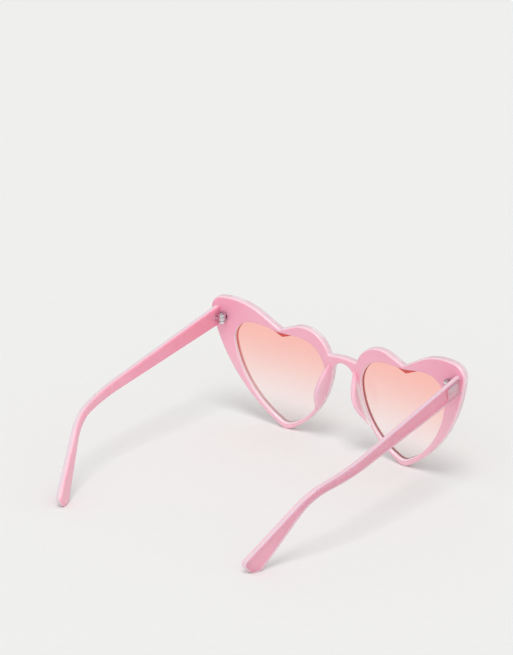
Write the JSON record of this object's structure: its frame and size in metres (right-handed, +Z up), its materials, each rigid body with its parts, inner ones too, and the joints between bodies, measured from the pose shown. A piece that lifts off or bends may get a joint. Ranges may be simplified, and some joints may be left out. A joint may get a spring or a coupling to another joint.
{
  "type": "sunglasses",
  "caption": "Heart shaped sunglasses with a bowed laminated plastic front, gradient tinted lenses, nose pads and folding temples on barrel hinges.",
  "frame": {"origin": "on the surface it stands on, midway between the hearts and midway between the front and the temple tips", "axes": "+X to the wearer's left, +Y from the front towards the temple tips, +Z up"},
  "size_m": [0.144, 0.1388, 0.0601],
  "materials": {
    "pink_plastic": "polished opaque pink plastic",
    "clear_plastic": "polished, nearly colourless clear plastic",
    "lens": "clear plastic tinted coral at the top, fading towards the tip",
    "hinge_metal": "bright plated metal",
    "screw_metal": "turned steel with a slotted head"
  },
  "bodies": {
    "front": {"front_pink_layer": "pink_plastic", "front_clear_layer": "clear_plastic", "left_lens": "lens", "right_lens": "lens", "left_nose_pad": "pink_plastic", "right_nose_pad": "pink_plastic", "left_front_hinge": "hinge_metal", "right_front_hinge": "hinge_metal", "left_hinge_screw": "screw_metal", "right_hinge_screw": "screw_metal"},
    "left_temple": {"left_temple_pink_layer": "pink_plastic", "left_temple_clear_layer": "clear_plastic", "left_temple_hinge": "hinge_metal"},
    "right_temple": {"right_temple_pink_layer": "pink_plastic", "right_temple_clear_layer": "clear_plastic", "right_temple_hinge": "hinge_metal"}
  },
  "joints": [
    {"name": "left_temple_fold", "type": "hinge", "parent": "front", "child": "left_temple", "pos_m": [0.06445, -0.05601, 0.04997], "axis": [0, 0.0737, 0.9973], "range_deg": [0, 84]},
    {"name": "right_temple_fold", "type": "hinge", "parent": "front", "child": "right_temple", "pos_m": [-0.06445, -0.05601, 0.04997], "axis": [0, -0.0737, -0.9973], "range_deg": [0, 74]}
  ]
}
